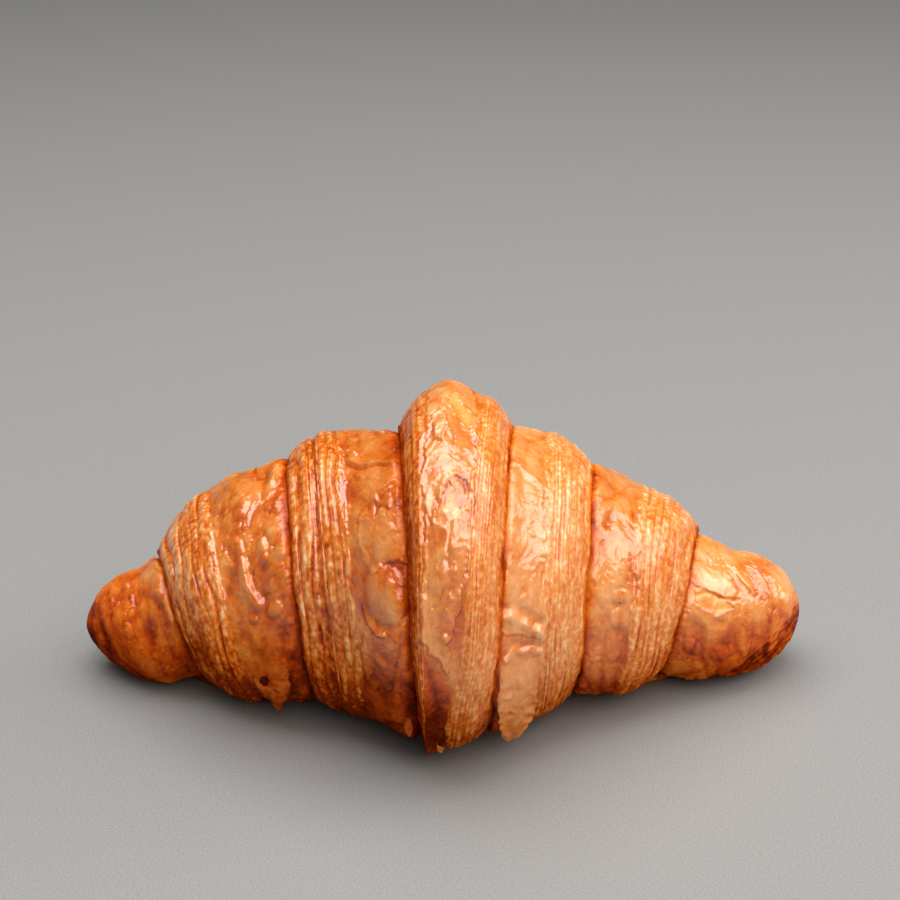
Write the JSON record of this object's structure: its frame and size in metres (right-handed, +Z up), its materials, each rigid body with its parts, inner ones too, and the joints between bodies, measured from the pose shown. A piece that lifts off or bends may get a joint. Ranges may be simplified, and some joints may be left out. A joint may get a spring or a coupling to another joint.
{
  "type": "croissant",
  "caption": "Baked croissant: a roll of laminated dough with a tall centre band, stepped ridged wraps to either side and blunt horns bent back, resting on a small flat underside.",
  "frame": {"origin": "centre of the bounding box in plan, on the resting plane z = 0", "axes": "+X along the roll towards the right horn as seen from the front, +Y to the back, the side to which the horns bend, +Z up"},
  "size_m": [0.15, 0.077, 0.068],
  "materials": {
    "crust": null
  },
  "bodies": {
    "root": {"croissant": "crust"}
  },
  "joints": []
}
